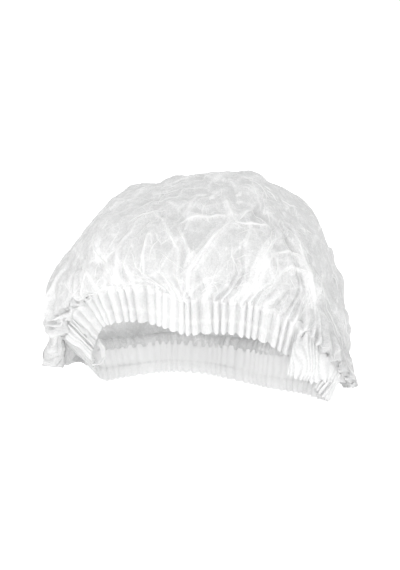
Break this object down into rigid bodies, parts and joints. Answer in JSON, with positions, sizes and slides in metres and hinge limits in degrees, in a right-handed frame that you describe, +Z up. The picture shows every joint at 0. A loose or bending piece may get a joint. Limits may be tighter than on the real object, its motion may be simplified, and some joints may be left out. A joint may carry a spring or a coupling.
{
  "type": "disposable bouffant cap",
  "caption": "Disposable bouffant cap of thin gathered nonwoven cloth with ruffled elastic hem bands and a wide low mouth, shown puffed up and standing by itself.",
  "frame": {"origin": "on the ground under the middle of the cap's bounding box", "axes": "+X to the right as seen from the front, +Y towards the back, +Z up; the mouth opens towards -Y and down"},
  "size_m": [0.2558, 0.1981, 0.1822],
  "materials": {
    "white_nonwoven": "thin translucent spunbonded nonwoven, matt",
    "gathered_nonwoven": "doubled and pleated nonwoven, matt",
    "welded_nonwoven": "bunched nonwoven pressed and welded, slightly smooth",
    "white_elastic": "flat white elastic, matt"
  },
  "bodies": {
    "root": {"crown": "white_nonwoven", "front_hem": "gathered_nonwoven", "rear_hem": "gathered_nonwoven", "front_elastic": "white_elastic", "rear_elastic": "white_elastic", "left_bunch": "welded_nonwoven", "right_bunch": "welded_nonwoven", "left_tab": "welded_nonwoven"}
  },
  "joints": []
}
